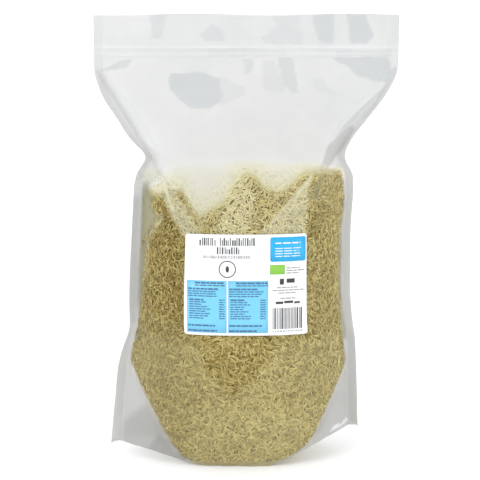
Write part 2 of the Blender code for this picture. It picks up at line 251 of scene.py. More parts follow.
# %% [markdown]
# ## A working copy of the bag's skin
# The frame's two solids of the bag have its true outer form, but they are cut apart by a
# hair's gap and have inner walls too. The copy closes that gap, welds the triangles and
# keeps only what can be reached along the outside. Pairs of triangles are then joined back
# into four-sided faces, because those subdivide evenly. Both the film and the rice start
# from this copy, so they fit each other and the frame.

# %% Outer skin
WELD = 0.03 * MM


def reached_from(face):
    """All faces that can be reached from one face across shared edges."""
    reached, edge_of_search = {face}, [face]
    while edge_of_search:
        here = edge_of_search.pop()
        for beside in (other for edge in here.edges for other in edge.link_faces):
            if beside not in reached:
                reached.add(beside)
                edge_of_search.append(beside)
    return reached


def outer_skin(lower, upper):
    """One closed skin around two solids that meet at a level cut."""
    mesh = bmesh.new()
    mesh.from_mesh(frame["nodes"][upper].data)
    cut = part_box(upper)[0].z
    rim = [vertex for vertex in mesh.verts if vertex.co.z < cut + WELD]
    mesh.from_mesh(frame["nodes"][lower].data)
    mesh.verts.ensure_lookup_table()
    edge_of_bag = max(rim, key=lambda vertex: vertex.co.x)
    below = [vertex.co.z for vertex in mesh.verts if (vertex.co.xy - edge_of_bag.co.xy).length < WELD and vertex.co.z < cut]
    for vertex in rim:
        vertex.co.z = max(below)
    bmesh.ops.remove_doubles(mesh, verts=mesh.verts, dist=WELD)
    mesh.normal_update()
    level = [
        face for face in mesh.faces
        if abs(face.normal.z) > 0.99 and all(abs(vertex.co.z - max(below)) < WELD for vertex in face.verts)
    ]
    bmesh.ops.delete(mesh, geom=level, context="FACES")
    top = max(mesh.faces, key=lambda face: face.calc_center_median().z)
    outside = reached_from(top)
    bmesh.ops.delete(mesh, geom=[face for face in mesh.faces if face not in outside], context="FACES")
    bmesh.ops.join_triangles(
        mesh, faces=mesh.faces, angle_face_threshold=math.radians(30), angle_shape_threshold=math.radians(50)
    )
    return mesh


def new_piece(name, mesh, material):
    """Turn a bmesh into a piece that rides on the pouch and takes its finish from a slot."""
    data = bpy.data.meshes.new(name)
    mesh.to_mesh(data)
    mesh.free()
    return dress(name, data, material)


def dress(name, data, material):
    data.materials.clear()
    data.materials.append(material)
    data.shade_smooth()
    piece = bpy.data.objects.new(name, data)
    bpy.context.collection.objects.link(piece)
    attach(piece, "root")
    return piece


def after_modifiers(piece):
    """The mesh of a piece with its modifiers worked in, as new plain data."""
    graph = bpy.context.evaluated_depsgraph_get()
    return bpy.data.meshes.new_from_object(piece.evaluated_get(graph), depsgraph=graph)


def positions(data):
    flat = np.empty(3 * len(data.vertices), dtype=np.float32)
    data.vertices.foreach_get("co", flat)
    return flat.reshape(-1, 3)


def smooth_step(value, low, high):
    t = np.clip((value - low) / (high - low), 0.0, 1.0)
    return t * t * (3.0 - 2.0 * t)


bag_skin = outer_skin("rice", "pouch")
print("skin of the bag:", len(bag_skin.verts), "vertices,", len(bag_skin.faces), "faces,",
      sum(edge.is_boundary for edge in bag_skin.edges), "open edges")

# %% [markdown]
# ## The body of rice
# The rice fills the bag up to a slope of its own. Low down the bag's corner seals cut it
# off on a slant, so it tapers to the small flat it stands on. On top it leaves the film
# along a line that dips and rises with the folds, and slopes back from there at the angle
# at which poured rice comes to rest. The copy is pulled in to those limits, and a voxel
# remesh then turns it into one clean closed body.

# %% Limits of the rice
# Height, and how far the rice reaches to the left and to the right.
RICE_REACH = [
    (0.000, 0.0600, 0.0470),
    (0.011, 0.0665, 0.0560),
    (0.028, 0.0785, 0.0670),
    (0.042, 0.0865, 0.0745),
    (0.057, 0.0950, 0.0820),
    (0.074, 0.1050, 0.0910),
    (0.088, 0.1130, 0.0995),
    (0.096, 0.1180, 0.1010),
    (0.109, 0.1160, 0.1000),
    (0.125, 0.1100, 0.0975),
    (0.150, 0.1070, 0.0955),
    (0.187, 0.1052, 0.0945),
    (0.227, 0.1044, 0.0955),
    (0.258, 0.1035, 0.0985),
    (0.300, 0.0960, 0.0960),
]
# Where the rice leaves the front film, as (x, height), and where it leaves the back film.
FRONT_CONTACT = [
    (-0.106, 0.262), (-0.094, 0.264), (-0.078, 0.267), (-0.063, 0.272), (-0.054, 0.258), (-0.045, 0.245),
    (-0.033, 0.253), (-0.020, 0.261), (-0.013, 0.273), (-0.006, 0.282), (0.001, 0.287), (0.009, 0.284),
    (0.015, 0.275), (0.028, 0.270), (0.035, 0.270), (0.042, 0.275), (0.052, 0.284), (0.061, 0.288),
    (0.098, 0.288),
]
BACK_CONTACT = [
    (-0.110, 0.262), (-0.060, 0.272), (-0.030, 0.258), (0.010, 0.276), (0.050, 0.262), (0.110, 0.278),
]
# The crest of the heap, as (x, height).
CREST = [(-0.110, 0.268), (-0.085, 0.270), (-0.070, 0.286), (0.000, 0.290), (0.070, 0.289), (0.110, 0.284)]
SLOPE_BACK = 1.35            # how far the heap recedes for each unit that it rises
UNDER_FILM = 2.7 * MM        # from the film in to the rice body, room for one loose layer
LOWEST_RICE = 1.3 * MM
CORE_VOXEL = 2.6 * MM


def read_line(line, value, column=1):
    return float(np.interp(value, [point[0] for point in line], [point[column] for point in line]))


def rice_limits(vertex, normal):
    """Pull one point of the bag's skin in to where the rice ends."""
    place = vertex - normal * UNDER_FILM
    column = 1 if place.x < 0.0 else 2
    reach = read_line(RICE_REACH, place.z, column) - 0.6 * UNDER_FILM
    place.x = max(-reach, min(reach, place.x))
    contact = read_line(FRONT_CONTACT if place.y < 0.0 else BACK_CONTACT, place.x)
    recede = max(0.0, place.z - contact) * SLOPE_BACK
    place.y = math.copysign(max(0.0, abs(place.y) - recede), place.y)
    place.z = max(LOWEST_RICE, min(place.z, read_line(CREST, place.x)))
    return place


# %% Shape the rice body
CUT_HEIGHT = 0.3010
core_mesh = bag_skin.copy()
whole = list(core_mesh.verts) + list(core_mesh.edges) + list(core_mesh.faces)
bmesh.ops.bisect_plane(
    core_mesh, geom=whole, plane_co=(0, 0, CUT_HEIGHT), plane_no=(0, 0, 1), clear_outer=True
)
bmesh.ops.subdivide_edges(core_mesh, edges=core_mesh.edges, cuts=1, use_grid_fill=True)
open_edges = [edge for edge in core_mesh.edges if edge.is_boundary]
bmesh.ops.holes_fill(core_mesh, edges=open_edges, sides=0)
bmesh.ops.recalc_face_normals(core_mesh, faces=core_mesh.faces)
core_mesh.normal_update()
moved = [rice_limits(vertex.co, vertex.normal) for vertex in core_mesh.verts]
for vertex, place in zip(core_mesh.verts, moved):
    vertex.co = place

core_data = bpy.data.meshes.new("rice body")
core_mesh.to_mesh(core_data)
core_mesh.free()
core_object = bpy.data.objects.new("rice body", core_data)
bpy.context.collection.objects.link(core_object)
remesh = core_object.modifiers.new("one closed body", "REMESH")
remesh.mode = "VOXEL"
remesh.voxel_size = CORE_VOXEL
relax = core_object.modifiers.new("soft edges", "SMOOTH")
relax.factor = 0.5
relax.iterations = 6
rice_body = after_modifiers(core_object)
bpy.data.objects.remove(core_object)
print("rice body:", len(rice_body.vertices), "vertices")

# %% [markdown]
# ## Soft shapes on the front
# Folds and veils have outlines of their own. Each is drawn as a polygon in millimetres, x
# and height as seen from the front, and a distance test turns it into a soft mask for any
# set of points. The same fold can then mark both the film and the grains under it. A
# painted picture would do this too, but would have to be unwrapped onto every mesh.

# %% Soft shapes
LEFT_FOLD = [(-86, 290), (-79, 286), (-54, 252), (-41, 232), (-60, 231), (-74, 251), (-81, 269)]
RIGHT_FOLD = [(63, 290), (60, 273), (56, 231), (12, 232), (21, 244), (36, 261), (50, 276)]


def depth_inside(places, corners):
    """How far each place is inside the outline of a shape, negative outside it."""
    nearest = np.full(len(places), 1.0)
    inside = np.zeros(len(places), dtype=bool)
    for start, end in zip(corners, corners[1:] + corners[:1]):
        start, end = MM * np.array(start), MM * np.array(end)
        run, here = end - start, places - start
        share = np.clip(here @ run / (run @ run), 0.0, 1.0)
        nearest = np.minimum(nearest, np.linalg.norm(here - share[:, None] * run, axis=1))
        spans = (start[1] > places[:, 1]) != (end[1] > places[:, 1])
        crossing = start[0] + here[:, 1] * run[0] / (run[1] if run[1] else 1.0)
        inside ^= spans & (places[:, 0] < crossing)
    return np.where(inside, nearest, -nearest)


def soft_shapes(shapes, places, softness, wobble=0.0):
    """The strongest of some shapes at each place, each a strength and its corners."""
    total = np.zeros(len(places))
    for strength, corners in shapes:
        depth = depth_inside(places, corners) + wobble
        total = np.maximum(total, strength * smooth_step(depth, -softness, softness))
    return total


# %% [markdown]
# ## Grains
# A grain of long rice is 6 to 8 mm long and under 2 mm thick, with tapered ends, and some
# are a little bent. Five kinds are made from a coarse sphere of 16 or 24 triangles each,
# because tens of thousands are needed. They are laid over the rice body nearly flat, as
# the film presses them. Their directions are random, but lean towards one that turns
# slowly from place to place, because poured grains settle in drifts. Each kind is one
# joined mesh made from arrays.

# %% One grain of each kind
# Length, width, thickness and bend in mm, rings around it, and how many are laid.
GRAIN_KINDS = {
    "long": (8.0, 1.38, 1.25, 0.00, 2, 12400),
    "medium": (7.2, 1.45, 1.30, 0.00, 2, 12400),
    "bent": (7.6, 1.35, 1.25, 0.35, 3, 7000),
    "short": (6.0, 1.55, 1.40, 0.00, 2, 11000),
    "slim": (8.4, 1.22, 1.15, 0.00, 2, 12400),
}
RING_PLACE = {2: (0.60, 1.0), 3: (0.78, 0.85)}   # end rings: place along the grain, fatness


def one_grain(length, width, thickness, bend, rings):
    """Points and triangles of one grain that lies along X."""
    mesh = bmesh.new()
    bmesh.ops.create_uvsphere(mesh, u_segments=4, v_segments=rings + 1, radius=1.0)
    bmesh.ops.rotate(mesh, verts=mesh.verts, matrix=Matrix.Rotation(math.pi / 2, 3, "Y"))
    bmesh.ops.triangulate(mesh, faces=mesh.faces)
    ring_place, end_fatness = RING_PLACE[rings]
    for vertex in mesh.verts:
        along, around = vertex.co.x, math.hypot(vertex.co.y, vertex.co.z)
        if around > 0.01:
            is_end_ring = abs(along) > 0.2
            fatness = (end_fatness if is_end_ring else 1.0) / around
            vertex.co.y *= fatness
            vertex.co.z *= fatness
            along = math.copysign(ring_place, along) if is_end_ring else 0.0
        vertex.co.x = 0.5 * length * along
        vertex.co.y = 0.5 * width * vertex.co.y + bend * (0.5 - along * along)
        vertex.co.z = 0.5 * thickness * vertex.co.z
    bmesh.ops.recalc_face_normals(mesh, faces=mesh.faces)
    mesh.verts.ensure_lookup_table()
    points = np.array([vertex.co[:] for vertex in mesh.verts]) * MM
    faces = np.array([[vertex.index for vertex in face.verts] for face in mesh.faces])
    mesh.free()
    return points, faces


grains = {name: one_grain(*sizes[:5]) for name, sizes in GRAIN_KINDS.items()}
print("triangles in a grain:", {name: len(faces) for name, (points, faces) in grains.items()})

# %% Places for the grains
# The lowest layer sinks into the rice body and the highest one almost reaches the film.
LOWEST_GRAIN = -0.7 * MM
HIGHEST_GRAIN = 1.45 * MM
TILT = 0.10                  # how far a grain's end lifts out of the surface, as a slope
LEAN = 1.7                   # how strongly neighbours lie the same way
GRAIN_SEED = 11


def spread_over(data, count, rng):
    """Points spread evenly over a mesh, with the outward normal at each."""
    data.calc_loop_triangles()
    corners = np.empty(3 * len(data.loop_triangles), dtype=np.int32)
    data.loop_triangles.foreach_get("vertices", corners)
    triangles = positions(data)[corners.reshape(-1, 3)].astype(np.float64)
    across = np.cross(triangles[:, 1] - triangles[:, 0], triangles[:, 2] - triangles[:, 0])
    area = 0.5 * np.linalg.norm(across, axis=1)
    reached = np.cumsum(area)
    steps = (np.arange(count) + rng.random(count)) * reached[-1] / count
    chosen = np.minimum(np.searchsorted(reached, steps), len(area) - 1)
    first, second = rng.random((2, count))
    over = first + second > 1.0
    first[over], second[over] = 1.0 - first[over], 1.0 - second[over]
    base = triangles[chosen]
    points = base[:, 0] + first[:, None] * (base[:, 1] - base[:, 0]) + second[:, None] * (base[:, 2] - base[:, 0])
    normals = across[chosen] / (2.0 * area[chosen, None])
    return points, normals, reached[-1]


def drift(place):
    """A direction that turns slowly from place to place."""
    x, y, z = place
    return noise.noise_vector((x * 24.0, y * 24.0, z * 24.0))[:]


def turned_frames(places, normals, rng):
    """Three axes for each grain: along it, across it, and out of the surface."""
    count = len(normals)
    tilted = normals + TILT * rng.normal(size=(count, 3))
    tilted /= np.linalg.norm(tilted, axis=1)[:, None]
    aside = rng.normal(size=(count, 3)) + LEAN * np.array([drift(place) for place in places.tolist()])
    along = np.cross(aside, tilted)
    along /= np.linalg.norm(along, axis=1)[:, None]
    return np.stack([along, np.cross(tilted, along), tilted], axis=1)


# Grains painted paler, as painted light: under the folds, in patches, and all over the open heap.
PALE_FOLDS = [(0.38, LEFT_FOLD), (0.46, RIGHT_FOLD)]
PALE_PATCHES = [
    (0.66, [(-28, 244), (-14, 288), (0, 293), (10, 270), (3, 228), (-32, 228)]),
    (0.26, [(6, 268), (20, 262), (48, 262), (34, 246), (14, 228), (-2, 228)]),
    (0.12, [(-48, 228), (-40, 246), (-20, 256), (-18, 228)]),
]
PALE_HEAP = 0.80
PALE_RIM = 0.28              # painted light in the middle, just below where the heap leaves the film


def paleness(places):
    """How much paler the rice is painted at each place, as painted light."""
    on_front = places[:, 1] < 0.0
    seen = places[:, [0, 2]]
    pale = np.maximum(soft_shapes(PALE_FOLDS, seen, 2.5 * MM), soft_shapes(PALE_PATCHES, seen, 7.0 * MM))
    pale *= on_front
    front, back = (np.interp(places[:, 0], *zip(*line)) for line in (FRONT_CONTACT, BACK_CONTACT))
    above = places[:, 2] - np.where(on_front, front, back)
    middle = 1.0 - smooth_step(np.abs(places[:, 0]), 0.045, 0.065)
    pale = np.maximum(pale, PALE_RIM * middle * smooth_step(above, -16.0 * MM, -3.0 * MM))
    return np.maximum(pale, PALE_HEAP * smooth_step(above, 0.0, 6.0 * MM))


def add_values(data, name, values):
    layer = data.attributes.new(name, "FLOAT", "POINT")
    layer.data.foreach_set("value", values.astype(np.float32))


def scatter(name, count, rng, surface):
    """All grains of one kind as one mesh, with a tone and a paleness for each grain."""
    points, faces = grains[name]
    places, normals, area = spread_over(surface, count, rng)
    axes = turned_frames(places, normals, rng)
    depth = LOWEST_GRAIN + (HIGHEST_GRAIN - LOWEST_GRAIN) * rng.random(count) ** 0.9
    size = rng.uniform(0.86, 1.10, count)
    shaped = np.einsum("vj,njk->nvk", points, axes) * size[:, None, None]
    shaped += (places + normals * depth[:, None])[:, None, :]
    shaped[:, :, 2] = np.maximum(shaped[:, :, 2], 0.25 * LOWEST_RICE)
    corner_count = len(points)
    all_faces = faces[None] + (corner_count * np.arange(count))[:, None, None]
    data = bpy.data.meshes.new("grains_" + name)
    data.from_pydata(shaped.reshape(-1, 3), [], all_faces.reshape(-1, 3))
    add_values(data, "tone", np.repeat(rng.random(count), corner_count))
    add_values(data, "pale", np.repeat(paleness(places), corner_count))
    return data, area


# %% [markdown]
# ## Colour of the rice
# Dry rice is a glassy straw colour. Single grains differ: most are olive straw, some are
# paler and chalky, and a few are darker. The tone of each grain is an attribute, so one
# material serves all. The same group of nodes tints the body below, which is painted darker
# as painted shade for the gaps between the grains. The group also paints shade on the left.

# %% Rice materials
PAINTED_LEFT_SHADE = -0.32           # painted shade on the left, where the rice is darkened as if less lit
# Colour of the painted light on the rice.
PALE_RICE = (0.79, 0.745, 0.48, 1.0)


def rice_tint_group():
    """Colour of rice from a tone between 0 and 1, with slow drifts, and painted shade on the left."""
    group = bpy.data.node_groups.new("rice tint", "ShaderNodeTree")
    face = group.interface
    face.new_socket("Tone", in_out="INPUT", socket_type="NodeSocketFloat")
    face.new_socket("Dark", in_out="INPUT", socket_type="NodeSocketColor")
    face.new_socket("Light", in_out="INPUT", socket_type="NodeSocketColor")
    face.new_socket("Drift", in_out="INPUT", socket_type="NodeSocketFloat")
    face.new_socket("Color", in_out="OUTPUT", socket_type="NodeSocketColor")
    entry = add_node(group, "NodeGroupInput")
    leave = add_node(group, "NodeGroupOutput")
    slow = fine_noise(group, object_position(group), 16.0, 2.0)
    drift = maths(group, "MULTIPLY", maths(group, "SUBTRACT", slow, 0.5), entry.outputs["Drift"])
    axes = add_node(group, "ShaderNodeSeparateXYZ")
    feed(group, object_position(group), axes.inputs["Vector"])
    # Painted shade: the rice on the left is darkened, as if it got less light.
    painted_left_shade = stretch(group, axes.outputs["X"], -0.070, -0.030, PAINTED_LEFT_SHADE, 0.0)
    drift = maths(group, "ADD", drift, painted_left_shade)
    shade = maths(group, "ADD", entry.outputs["Tone"], drift, clamp=True)
    colour = mix_colour(group, shade, entry.outputs["Dark"], entry.outputs["Light"])
    feed(group, colour, leave.inputs["Color"])
    return group


rice_tint = rice_tint_group()


def rice_material(name, dark, light, drift, pale_share, roughness):
    material, tree, shader = new_material(name, roughness)
    tint = add_node(tree, "ShaderNodeGroup", node_tree=rice_tint)
    feed(tree, attribute(tree, "tone"), tint.inputs["Tone"])
    tint.inputs["Dark"].default_value = (*dark, 1.0)
    tint.inputs["Light"].default_value = (*light, 1.0)
    tint.inputs["Drift"].default_value = drift
    # Paleness: painted light on the rice.
    pale = maths(tree, "MULTIPLY", attribute(tree, "pale"), pale_share)
    feed(tree, mix_colour(tree, pale, tint.outputs["Color"], PALE_RICE), shader.inputs["Base Color"])
    chalk = fine_noise(tree, object_position(tree), 900.0, 2.0)
    feed(tree, bump(tree, chalk, 0.25, 0.2 * MM), shader.inputs["Normal"])
    return material


grain_finish = rice_material("rice grains", (0.265, 0.186, 0.030), (0.68, 0.570, 0.225), 0.5, 1.0, 0.42)
# The body is painted dark: painted shade for the gaps between the grains.
gap_shade_finish = rice_material("rice body in painted gap shade", (0.12, 0.082, 0.012), (0.22, 0.161, 0.030), 0.8, 0.15, 0.7)

# %% Lay the rice
rng = np.random.default_rng(GRAIN_SEED)
grain_count = 0
for kind, sizes in GRAIN_KINDS.items():
    amount = sizes[-1]
    grain_data, rice_area = scatter(kind, amount, rng, rice_body)
    dress("grains_" + kind, grain_data, grain_finish)
    grain_count += amount
add_values(rice_body, "tone", rng.random(len(rice_body.vertices)))
add_values(rice_body, "pale", paleness(positions(rice_body).astype(np.float64)))
dress("rice_body", rice_body, gap_shade_finish)
print("grains:", grain_count, "on", round(10000 * rice_area), "square cm")

# %% [markdown]
# ## The film
# The bag is two panels of film, sealed at the sides and the top and folded in at the foot.
# It starts from the same copy as the rice. Subdivision rounds its facets, with the corners
# of the flat top kept sharp. Fine wrinkles are then moved in by noise, small where the
# rice holds the film taut and larger where it hangs empty.

# %% Film mesh
SHARP_CORNER_HEIGHT = 0.436
WRINKLE = 0.55 * MM          # how far the empty film ripples
TAUT_RIPPLE = 0.12 * MM      # and where rice presses it out


def sharp_corners(mesh):
    """Crease the vertices at the ends of the top edge, and at the two bottom corners."""
    crease = mesh.verts.layers.float.new("crease_vert")
    low = min(vertex.co.x for vertex in mesh.verts if vertex.co.z < 0.04)
    high = max(vertex.co.x for vertex in mesh.verts if vertex.co.z < 0.04)
    wide = max(vertex.co.x for vertex in mesh.verts)
    for vertex in mesh.verts:
        at_top = vertex.co.z > SHARP_CORNER_HEIGHT and abs(vertex.co.x) > wide - 0.1 * MM
        at_foot = vertex.co.z < 0.03 and not low + 0.4 * MM < vertex.co.x < high - 0.4 * MM
        vertex[crease] = 1.0 if at_top or at_foot else 0.0


sharp_corners(bag_skin)
film_data = bpy.data.meshes.new("film cage")
bag_skin.to_mesh(film_data)
bag_skin.free()
film_cage = bpy.data.objects.new("film cage", film_data)
bpy.context.collection.objects.link(film_cage)
rounding = film_cage.modifiers.new("rounding", "SUBSURF")
rounding.levels = 2
rounding.render_levels = 2
film_mesh = after_modifiers(film_cage)
bpy.data.objects.remove(film_cage)
print("film:", len(film_mesh.vertices), "vertices")

# %% How far the film is from the rice
rice_tree_mesh = bmesh.new()
rice_tree_mesh.from_mesh(rice_body)
rice_tree = BVHTree.FromBMesh(rice_tree_mesh)
rice_tree_mesh.free()


def gap_to_rice(place):
    nearest = rice_tree.find_nearest(place, 0.05)
    return nearest[3] if nearest[0] is not None else 0.05


film_places = positions(film_mesh)
gaps = np.array([gap_to_rice(Vector(place)) for place in film_places.tolist()]) - UNDER_FILM
print("film on the rice:", round(100 * float(np.mean(gaps < 0.8 * MM))), "percent of its vertices")

# %% Ripple the film
empty = smooth_step(gaps, 0.5 * MM, 12.0 * MM)
flat_normals = np.empty(3 * len(film_mesh.vertices), dtype=np.float32)
film_mesh.vertices.foreach_get("normal", flat_normals)
film_normals = flat_normals.reshape(-1, 3)


def ripple(place):
    """Long soft wrinkles that run mostly up and down, with finer ones across them."""
    x, y, z = place
    long = noise.noise((x * 38.0, y * 38.0, z * 13.0))
    fine = noise.noise((x * 90.0 + 7.0, y * 90.0, z * 60.0))
    return long + 0.35 * fine


ripples = np.array([ripple(place) for place in film_places.tolist()])
sheet = smooth_step(film_places[:, 2], 0.395, 0.415)
amount = (TAUT_RIPPLE + (WRINKLE - TAUT_RIPPLE) * empty) * (1.0 - 0.75 * sheet)
film_places += film_normals * (ripples * amount - 0.2 * MM * (1.0 - sheet))[:, None]
film_mesh.vertices.foreach_set("co", film_places.reshape(-1))

# %% [markdown]
# ## How milky the film looks
# The film scatters light, so rice is clear only where it touches the film, and fades into
# white within a few centimetres behind it. That cover is worked out from the gap to the
# rice. The film also gets a painted glow in the colour of the rice close behind it, for the
# light that rice sends into it. Where it lies on the rice a thin veil stays, folds leave
# broader pale veils, and beside the seals the film turns away and looks grey, with painted
# shade of the rice behind it. Two more attributes grey the places where the film is doubled,
# and patches of painted reflection on the empty film.

# %% Gap between film and rice
SIGHT_DROP = math.tan(CAMERA_ELEVATION)
DEEPEST_SIGHT = 0.15


def gap_behind(place, normal):
    """How far behind the film the rice is, looking through it from the front or the back."""
    inwards = Vector((0.0, math.copysign(1.0, -normal[1]), -SIGHT_DROP)).normalized()
    return rice_tree.ray_cast(place, inwards, DEEPEST_SIGHT)[3]


sight = [gap_behind(Vector(place), normal) for place, normal in zip(film_places.tolist(), film_normals.tolist())]
empty_behind = np.array([distance is None for distance in sight])
behind = np.array([DEEPEST_SIGHT if distance is None else distance for distance in sight])
behind = np.minimum(behind - UNDER_FILM, 2.5 * np.clip(gaps, 0.0, None))
print("film with no rice behind it:", round(100 * float(empty_behind.mean())), "percent")

# %% Shapes on the film
# Each is a strength and the corners of the shape, as x and height in mm on the front film.
# Grey patches and bands on the empty film, painted as darker reflections in the glossy film.
PAINTED_REFLECTIONS = [
    (1.00, [(-74, 383), (-40, 385), (-26, 380), (-24, 359), (-35, 351), (-54, 351), (-66, 360), (-75, 368)]),
    (0.40, [(-26, 381), (-1, 372), (0, 362), (-26, 355)]),
    (0.85, [(-146, 385), (-125, 395), (-113, 397), (-118, 389)]),
    (0.95, [(85, 399), (135, 400), (148, 389), (147, 379), (140, 373), (111, 381)]),
    (0.55, [(-94, 441), (-77, 441), (-84, 418), (-91, 418)]),
    (0.55, [(-46, 422), (-33, 431), (-22, 425), (-21, 415), (-40, 414)]),
    (0.50, [(15, 419), (37, 433), (53, 426), (55, 412), (17, 412)]),
    (0.35, [(25, 441), (55, 441), (51, 429), (31, 426)]),
    (0.80, [(63, 441), (86, 441), (85, 412), (72, 414)]),
    (0.85, [(99, 441), (117, 441), (124, 420), (117, 412), (102, 412)]),
    (0.60, [(-4, 398), (8, 398), (5, 387), (-1, 381)]),
    (0.40, [(16, 397), (27, 397), (37, 374), (37, 366), (16, 366)]),
    (0.80, [(31, 399), (45, 399), (51, 366), (45, 364), (35, 376)]),
    (0.35, [(64, 376), (74, 379), (87, 363), (70, 366)]),
    (0.30, [(-36, 407), (40, 407), (40, 400), (-36, 400)]),
    (0.45, [(88, 406), (142, 406), (142, 400), (88, 400)]),
]
VEILS = [
    (0.10, [(-125, 128), (110, 128), (100, 60), (50, -5), (-70, -5), (-120, 79)]),
    (0.06, [(68, 290), (98, 292), (98, 262), (82, 250), (70, 262)]),
    (0.14, [(-60, 52), (-20, 62), (30, 60), (60, 48), (50, -5), (-55, -5)]),
]
# Folds that stand off the rice: how milky they are, whatever lies behind them.
FOLDS = [
    (0.26, LEFT_FOLD),
    (0.24, RIGHT_FOLD),
    (0.55, [(-84, 292), (-80, 290), (-73, 266), (-68, 254), (-71, 253), (-77, 264), (-82, 280)]),
    (0.48, [(64, 292), (61, 288), (40, 264), (13, 233), (15, 233), (41, 261), (63, 284)]),
    (0.30, [(-109, 210), (-106, 208), (-80, 245), (-83, 250)]),
]
# The film's milky veil where it turns away at the sides; its dark olive tint is painted shade of the rice behind it.
GREY_VEILS = [
    (0.90, [(-107, 272), (-98, 274), (-94, 266), (-94, 253), (-86, 246), (-97, 226), (-101, 190), (-106, 150), (-110, 122), (-113, 122)]),
    (0.60, [(74, 291), (65, 278), (62, 268), (66, 262), (72, 268), (75, 281), (82, 290)]),
    (0.66, [(97, 262), (92, 200), (92, 160), (97, 118), (120, 118), (120, 262)]),
]
CLEAR_PATCHES = [
    (1.00, [(-49, 137), (36, 137), (15, 99), (-14, 73), (-40, 101)]),
    (0.90, [(-88, 262), (-80, 262), (-62, 225), (-62, 150), (-98, 150), (-96, 190)]),
]
# Painted shade with a crisp edge: in the creases, and a painted shadow in the notch at the lower left.
CRISP_PAINTED_SHADE = [
    (0.40, [(-149, 386), (-145, 386), (-129, 364), (-111, 336), (-95, 306), (-80, 287), (-85, 285), (-100, 306)]),
    (0.42, [(139, 372), (117, 354), (96, 336), (79, 314), (69, 292), (73, 292), (84, 312), (120, 352)]),
    (0.26, [(139, 372), (147, 384), (126, 348), (106, 330), (82, 318), (98, 336), (117, 354)]),
    (1.00, [(-69, 14), (-62, 11), (-52, -6), (-60, -9), (-71, 3)]),
    (0.66, [(79, 316), (90, 325), (104, 334), (108, 328), (97, 310), (88, 300), (78, 294), (74, 300)]),
]
# Painted shade with a soft edge: beside the left crease, on the wings and lower corners, and on the left seam.
SOFT_PAINTED_SHADE = [
    (0.32, [(-149, 386), (-143, 386), (-127, 364), (-109, 336), (-93, 306), (-78, 285), (-89, 283), (-103, 306), (-117, 336)]),
    (0.14, [(-112, 280), (-114, 296), (-102, 312), (-92, 302), (-80, 284), (-90, 276)]),
    (0.17, [(-126, 130), (-108, 130), (-96, 56), (-66, 8), (-126, 2)]),
    (0.66, [(-124, 34), (-98, 60), (-64, 10), (-56, -8), (-126, 4)]),
    (1.00, [(-98, 18), (-86, 34), (-66, 10), (-58, -6), (-80, 0), (-100, 8)]),
    (0.44, [(-121, 262), (-104, 262), (-107, 150), (-109, 131), (-124, 131)]),
    (0.30, [(102, 128), (122, 110), (124, 8), (60, -12), (50, -5), (80, 52), (98, 90)]),
]
# Where empty film gets a painted cream glow, for light from the rice behind it.
PAINTED_CREAM_GLOW = [
    (0.90, [(-107, 266), (-107, 282), (-96, 288), (-78, 290), (-84, 274), (-97, 271)]),
]
SHINE = [
    (1.00, [(84, 28), (88, 34), (95, 36), (94, 32), (101, 37), (104, 33), (94, 29)]),
]


def marks(shapes, softness, wobble):
    """Soft shapes on the front of the film, with slightly uneven outlines."""
    on_front = film_normals[:, 1] < 0.0
    places = film_places[on_front][:, [0, 2]].astype(np.float64)
    total = np.zeros(len(film_places))
    total[on_front] = soft_shapes(shapes, places, softness, wobble * wobbles[on_front])
    return total


# %% Film attributes
COMMON_VEIL = 0.05
MOST_COVER = 0.84
SEEN_THROUGH = 0.30          # how much less of it there is where rice is close behind
COVER_GROWS = 3.5 * MM       # gap to the rice at which most of the whitening is reached
GLOW_REACH = 28.0 * MM       # how far behind the film rice still tints it
SEAL_WIDTH = 9.0 * MM
BESIDE_SEAL = 0.38           # veil where the film turns away to its seals


def edge_distance(places):
    """How far each point is from the free side edge of the film at its height."""
    levels = np.arange(0.0, cad_high.z, 3.0 * MM)
    left, right = np.zeros(len(levels)), np.zeros(len(levels))
    for index, level in enumerate(levels):
        near = np.abs(places[:, 2] - level) < 4.5 * MM
        left[index], right[index] = places[near, 0].min(), places[near, 0].max()
    from_left = places[:, 0] - np.interp(places[:, 2], levels, left)
    from_right = np.interp(places[:, 2], levels, right) - places[:, 0]
    return np.minimum(from_left, from_right)


def softened(values, rounds):
    """Average a value with its neighbours' along the edges of the film mesh."""
    ends = np.empty(2 * len(film_mesh.edges), dtype=np.int32)
    film_mesh.edges.foreach_get("vertices", ends)
    first, second = ends.reshape(-1, 2).T
    count = len(values)
    shares = 1.0 + np.bincount(first, minlength=count) + np.bincount(second, minlength=count)
    for _ in range(rounds):
        gathered = np.bincount(first, values[second], count) + np.bincount(second, values[first], count)
        values = (values + gathered) / shares
    return values


wobbles = np.array([noise.noise((x * 70.0, 3.0, z * 70.0)) for x, y, z in film_places.tolist()])
height = film_places[:, 2]
from_edge = edge_distance(film_places)
veil = COMMON_VEIL + marks(VEILS, 3.0 * MM, 2.0 * MM)
veil *= 1.0 - marks(CLEAR_PATCHES, 4.0 * MM, 3.0 * MM)
beside = BESIDE_SEAL * (1.0 - smooth_step(from_edge, SEAL_WIDTH, 2.0 * SEAL_WIDTH))
beside *= 1.0 - smooth_step(height, 0.260, 0.285)
grey = marks(GREY_VEILS, 4.5 * MM, 2.0 * MM)
veil = np.maximum(veil, np.maximum(beside, grey))
whitening = 1.0 - np.exp(-((np.clip(behind - 0.8 * MM, 0.0, None) / COVER_GROWS) ** 0.6))
bare = softened(empty_behind.astype(float), 2) * (1.0 - smooth_step(height, 0.270, 0.290))
glow = softened(np.exp(-np.clip(behind, 0.0, None) / GLOW_REACH) * ~empty_behind, 2)
glow = np.maximum(glow, marks(PAINTED_CREAM_GLOW, 5.0 * MM, 2.0 * MM))
cover = softened(veil + (MOST_COVER - SEEN_THROUGH * glow - veil) * whitening, 1)
cover = np.maximum(cover, grey)
folded = np.zeros(len(film_places))
